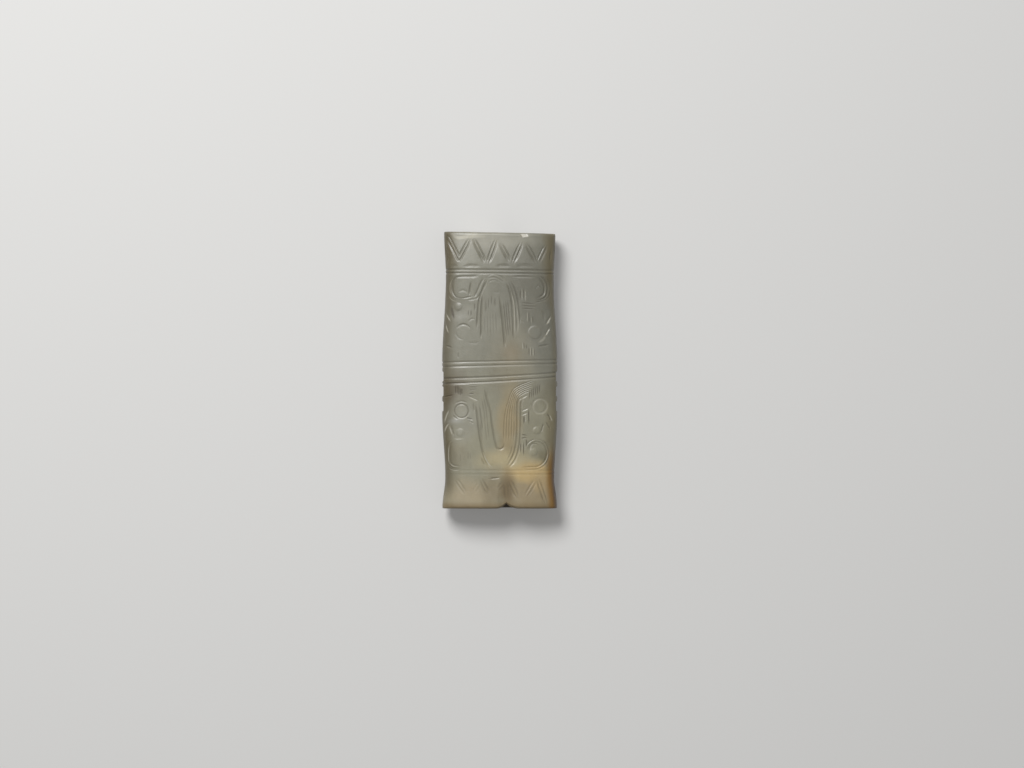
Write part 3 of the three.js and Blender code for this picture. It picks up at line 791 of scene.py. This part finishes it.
def stone_colour(points, wander):
    """Colour of the stone at every point: its two greens, then its stains, painted shade and highlights among
    them, its lower rim, and its edges, with painted shade on the left and a painted rim light on the right.
    """
    x, y, _ = points.T
    lower = smoothstep(UPPER_ENDS, LOWER_STARTS, y)[:, None]
    colour = UPPER_JADE + (LOWER_JADE - UPPER_JADE) * lower
    shifted = points + PATCH_WANDER * wander[:, None]

    def lay(tint, share):
        nonlocal colour
        colour = colour + (tint - colour) * share[:, None]

    for patch in STAINS_AND_PAINTED_LIGHT:
        lay(patch.colour, patch.share * in_patch(shifted, patch.centre, patch.radii, patch.softness))
    lay(RIM_BROWN, RIM_SHARE * smoothstep(BOTTOM + RIM_START, BOTTOM + RIM_FULL, y))
    out = np.abs(x) / (eased(WIDTHS, y) / 2)
    above_corner = smoothstep(BOTTOM + CORNER_START, BOTTOM + CORNER_END, y)
    left = (LEFT_AT_CORNER + (1 - LEFT_AT_CORNER) * above_corner) * (x < 0)
    right = 1.0 * (x > 0)
    low_right = right * smoothstep(AMBER_START, AMBER_FULL, y)
    # Painted shade on the left edge and painted rim light on the right, then amber and brown stains low on
    # the right
    edges = ((LEFT_EDGE_SHADE, left), (RIGHT_EDGE_LIGHT, right), (AMBER_EDGE, low_right), (BROWN_EDGE, low_right))
    for edge, where in edges:
        lay(edge.colour, edge.share * where * smoothstep(edge.start, edge.full, out))
    return colour


def carved_bar():
    """Mesh of the carved bar, with attributes for the colour of its stone, painted light and shade included,
    and for the dirt and painted shade of its cuts.
    """
    rows, outside_rows = bar_rows()
    columns = rows.shape[1]
    normals = grid_normals(rows).reshape(-1, 3)
    points = rows.reshape(-1, 3)
    outside = np.arange(len(points)) < outside_rows * columns
    depth = np.zeros(len(points))
    shade = np.zeros(len(points))
    depth[outside], shade[outside] = carved_depth(points[outside])
    broad = BROAD_WEAR * lattice_noise(points, BROAD_CELL, BROAD_SEED)
    worn = broad + FINE_WEAR * lattice_noise(points, FINE_CELL, FINE_SEED)
    inward = depth + trough_depth(points) * outside + np.clip(WEAR_DEPTH + worn, 0, 1)
    placed = points - normals * inward[:, None]

    # Broken lip: the wall in front of the bore is drawn up into the bite
    front = smoothstep(LIP_WALL_START, LIP_WALL_FULL, placed[:, 2])
    fade = np.clip(1 - (placed[:, 1] - BOTTOM) / LIP_REACH, 0, 1) ** 2
    placed[:, 1] += lip_bite(placed[:, 0]) * fade * front

    # Notches: the edges stop short at the floor of each notch
    limit = eased(WIDTHS, placed[:, 1]) / 2 - edge_notch(placed[:, 1])
    placed[:, 0] = np.where(outside, np.clip(placed[:, 0], -limit, limit), placed[:, 0])

    # Chip: a flat facet across the front edge of the top end
    chip_start = TOP - CHIP_FROM_TOP
    lean = CHIP_LEAN * (placed[:, 1] - chip_start)
    across_chip = (placed[:, 0] > CHIP_LEFT - lean) & (placed[:, 0] < CHIP_RIGHT - lean)
    chip_height = eased(THICKNESSES, np.array([chip_start])) / 2 - CHIP_SUNK
    facet = chip_height - CHIP_TILT * (placed[:, 1] - chip_start)
    chipped = outside & across_chip & (placed[:, 2] > 0) & (placed[:, 2] > facet)
    placed[chipped, 2] = facet[chipped]

    colour = stone_colour(points, lattice_noise(points, WANDER_CELL, WANDER_SEED))
    # The chip's fresh break is painted white, which also stands for a glint of light on it
    glinting_break = chipped & (placed[:, 1] < TOP - end_fall(placed[:, 0], TOP) - CHIP_RIM)
    colour[glinting_break] = CHIP_BREAK_AND_GLINT
    # Painted shade darkens the wall of the bore
    from_axis = np.hypot(points[:, 0] - BORE_X, points[:, 2])
    in_bore = from_axis < bore_radius(points[:, 1]) + BORE_MARGIN
    colour[in_bore] += (BORE_PAINTED_SHADE - colour[in_bore]) * BORE_SHADE_SHARE
    low, high = (np.array(corner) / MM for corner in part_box("jade_body"))
    placed += np.array(((low[0] + high[0]) / 2, low[1] - BOTTOM, (low[2] + high[2]) / 2))

    return grid_mesh("carved_jade", placed, rows.shape[:2], colour, shade)


def grid_mesh(name, placed, shape, colour, shade):
    """Mesh of a grid that closes on itself both ways, with a colour and a shade at each of its points."""
    mesh = bpy.data.meshes.new(name)
    index = np.arange(len(placed)).reshape(shape)
    after = np.roll(index, -1, 0)
    quads = np.stack((index, np.roll(index, -1, 1), np.roll(after, -1, 1), after), 2).reshape(-1, 4)
    mesh.vertices.add(len(placed))
    mesh.vertices.foreach_set("co", (placed * MM).ravel())
    mesh.loops.add(quads.size)
    mesh.loops.foreach_set("vertex_index", quads.ravel())
    mesh.polygons.add(len(quads))
    mesh.polygons.foreach_set("loop_start", np.arange(0, quads.size, 4))
    mesh.update(calc_edges=True)
    mesh.validate()
    mesh.shade_smooth()
    opaque = np.concatenate((colour, np.ones((len(colour), 1))), 1)
    mesh.attributes.new("stone", "FLOAT_COLOR", "POINT").data.foreach_set("color", opaque.ravel())
    mesh.attributes.new("cut", "FLOAT", "POINT").data.foreach_set("value", shade)
    return mesh


class Nodes:
    """One material, and short ways to add nodes to it."""

    def __init__(self, name):
        self.material = bpy.data.materials.new(name)
        self.material.use_nodes = True
        self.tree = self.material.node_tree
        self.tree.nodes.clear()

    def add(self, kind, inputs=None, **settings):
        """A node with these settings, whose inputs are linked where a socket is given and set otherwise."""
        node = self.tree.nodes.new(kind)
        for key, value in settings.items():
            setattr(node, key, value)
        for key, value in (inputs or {}).items():
            if isinstance(value, bpy.types.NodeSocket):
                self.tree.links.new(value, node.inputs[key])
            else:
                node.inputs[key].default_value = value
        return node

    def noise(self, place, scale, detail, rough):
        """Noise about 0.5, whose scale is for each metre."""
        inputs = {"Vector": place, "Scale": scale, "Detail": detail, "Roughness": rough}
        return self.add("ShaderNodeTexNoise", inputs).outputs["Fac"]

    def spread(self, value, low, high, to_low=0.0, to_high=1.0):
        """A value mapped from one range to another, and held at its ends."""
        inputs = {"Value": value, "From Min": low, "From Max": high, "To Min": to_low, "To Max": to_high}
        return self.add("ShaderNodeMapRange", inputs).outputs["Result"]

    def times(self, one, other):
        """The product of two values."""
        return self.add("ShaderNodeMath", {0: one, 1: other}, operation="MULTIPLY").outputs[0]

    def larger(self, one, other):
        """The larger of two values."""
        return self.add("ShaderNodeMath", {0: one, 1: other}, operation="MAXIMUM").outputs[0]


def blend_colours(nodes, share, below, above):
    """Colour between two, with sockets taken by their place because the node has several named alike."""
    node = nodes.add("ShaderNodeMix", data_type="RGBA")
    for place, value in ((0, share), (6, below), (7, above)):
        if isinstance(value, bpy.types.NodeSocket):
            nodes.tree.links.new(value, node.inputs[place])
        else:
            node.inputs[place].default_value = value
    return node.outputs[2]


def jade_material():
    """Clouded stone, darker in the cuts with dirt and painted shade, and paler in the scratches with a
    painted highlight, with fine specks and a waxy polish.
    """
    nodes = Nodes("jade")
    place = nodes.add("ShaderNodeTexCoord").outputs["Object"]
    drawn = nodes.add("ShaderNodeMapping", {"Vector": place, "Scale": FIBRE_STRETCH}).outputs["Vector"]
    clouds = nodes.noise(place, scale=130.0, detail=4.0, rough=0.55)
    fibres = nodes.noise(drawn, scale=800.0, detail=6.0, rough=0.6)
    specks = nodes.noise(place, scale=2400.0, detail=3.0, rough=0.5)

    stone = nodes.add("ShaderNodeAttribute", attribute_name="stone").outputs["Color"]
    cloud_tint = nodes.spread(clouds, GRAIN_LOW, GRAIN_HIGH, *CLOUD_TINT)
    fibre_tint = nodes.spread(fibres, GRAIN_LOW, GRAIN_HIGH, *FIBRE_TINT)
    tint = nodes.times(cloud_tint, fibre_tint)
    tinted = nodes.add("ShaderNodeVectorMath", {0: stone, "Scale": tint}, operation="SCALE")
    cut = nodes.add("ShaderNodeAttribute", attribute_name="cut").outputs["Fac"]
    # Cuts darken with dirt and painted shade, and scratches pale with a painted highlight
    dark = nodes.spread(cut, 0.0, DARKEST_CUT, 0.0, DARKEST_SHARE)
    colour = blend_colours(nodes, dark, tinted.outputs["Vector"], (*CUT_DIRT_AND_SHADE, 1.0))
    pale = nodes.spread(cut, 0.0, PALEST_CUT)
    colour = blend_colours(nodes, pale, colour, (*SCRATCH_PALE_AND_HIGHLIGHT, 1.0))
    speckled = nodes.spread(specks, SPECK_LOW, SPECK_HIGH, 0.0, SPECK_SHARE)
    colour = blend_colours(nodes, speckled, colour, (*DARK_BROWN, 1.0))

    rough = nodes.spread(fibres, GRAIN_LOW, GRAIN_HIGH, *FIBRE_ROUGHNESS)
    grain = nodes.add("ShaderNodeBump", {"Strength": 0.06, "Distance": 0.0004, "Height": specks})
    shader = nodes.add("ShaderNodeBsdfPrincipled", {
        "Base Color": colour,
        "Roughness": rough,
        "IOR": 1.6,
        "Subsurface Weight": 0.2,
        "Subsurface Radius": (1.0, 0.9, 0.7),
        "Subsurface Scale": 0.0006,
        "Normal": grain.outputs["Normal"],
    })
    nodes.add("ShaderNodeOutputMaterial", {"Surface": shader.outputs["BSDF"]})
    return nodes.material


def floor_material():
    """Plain pale floor, which glows a little to the eye alone, so that edges stand out from the shadow."""
    nodes = Nodes("pale_floor")
    rays = nodes.add("ShaderNodeLightPath").outputs
    seen = nodes.larger(rays["Is Camera Ray"], rays["Is Glossy Ray"])
    seen = nodes.larger(seen, rays["Is Transmission Ray"])
    colour = blend_colours(nodes, seen, FLOOR_BOUNCE, FLOOR_PALE)
    shader = nodes.add("ShaderNodeBsdfPrincipled", {
        "Base Color": colour,
        "Roughness": 0.8,
        "Emission Color": FLOOR_PALE,
        "Emission Strength": nodes.times(seen, FLOOR_GLOW),
    })
    nodes.add("ShaderNodeOutputMaterial", {"Surface": shader.outputs["BSDF"]})
    return nodes.material


def add_object(name, data):
    """A new object at the origin, in the scene."""
    made = bpy.data.objects.new(name, data)
    bpy.context.scene.collection.objects.link(made)
    return made


# The pendant
pendant = add_object("carved_jade", carved_bar())
pendant.data.materials.append(jade_material())
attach(pendant, "root")
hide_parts("jade_body")

# The floor under it
FLOOR_HALF = 1.5
floor_mesh = bpy.data.meshes.new("floor")
corners = [
    (-FLOOR_HALF, -FLOOR_HALF, 0),
    (FLOOR_HALF, -FLOOR_HALF, 0),
    (FLOOR_HALF, FLOOR_HALF, 0),
    (-FLOOR_HALF, FLOOR_HALF, 0),
]
floor_mesh.from_pydata(corners, [], [(0, 1, 2, 3)])
floor = add_object("floor", floor_mesh)
floor_mesh.materials.append(floor_material())

# A soft lamp from the upper left and an even world
LAMP_FROM = Vector((-0.29, 0.53, 0.8))
LAMP_AWAY = 0.75
LAMP_SIZE = 0.34
LAMP_POWER = 4.8
WORLD_STRENGTH = 0.22
lamp_data = bpy.data.lights.new("key", "AREA")
lamp_data.shape = "DISK"
lamp_data.size = LAMP_SIZE
lamp_data.energy = LAMP_POWER
lamp = add_object("key", lamp_data)
lamp.location = LAMP_FROM.normalized() * LAMP_AWAY
lamp.rotation_euler = LAMP_FROM.to_track_quat("Z", "Y").to_euler()

world = bpy.data.worlds.new("studio")
world.use_nodes = True
background = world.node_tree.nodes["Background"]
background.inputs["Color"].default_value = (1.0, 1.0, 1.0, 1.0)
background.inputs["Strength"].default_value = WORLD_STRENGTH
bpy.context.scene.world = world

# The camera looks straight down, with the pendant a little up and left of the picture's middle. The picture's
# width is measured half way up the pendant
PICTURE_WIDTH = 268.1
CAMERA_X = 3.2
CAMERA_Y = -3.65
MIDDLE_HEIGHT = 5.3
camera_data = bpy.data.cameras.new("camera")
camera_data.lens = 100.0
camera_data.sensor_width = 36.0
camera = add_object("camera", camera_data)
away = PICTURE_WIDTH / camera_data.sensor_width * camera_data.lens
camera.location = Vector((CAMERA_X, CAMERA_Y, MIDDLE_HEIGHT + away)) * MM
bpy.context.scene.camera = camera

bpy.context.scene.view_settings.view_transform = "Standard"
